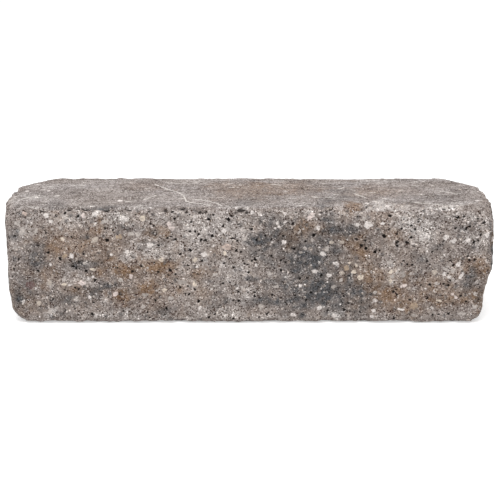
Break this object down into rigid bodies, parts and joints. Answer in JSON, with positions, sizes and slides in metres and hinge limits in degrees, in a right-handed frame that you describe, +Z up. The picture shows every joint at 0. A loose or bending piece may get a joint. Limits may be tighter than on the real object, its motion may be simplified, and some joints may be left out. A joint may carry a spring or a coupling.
{
  "type": "concrete kerb stone",
  "caption": "Tumbled rectangular concrete kerb or walling stone with worn arrises, knocked corners and a broken end foot, laid end to end as edging or stacked.",
  "frame": {"origin": "middle of the bed, the face that the stone lies on", "axes": "+X along the stone, -Y is the front (street) face, +Z up"},
  "size_m": [0.6, 0.15, 0.15],
  "materials": {
    "concrete": "matte"
  },
  "bodies": {
    "root": {"kerb_stone": "concrete"}
  },
  "joints": []
}
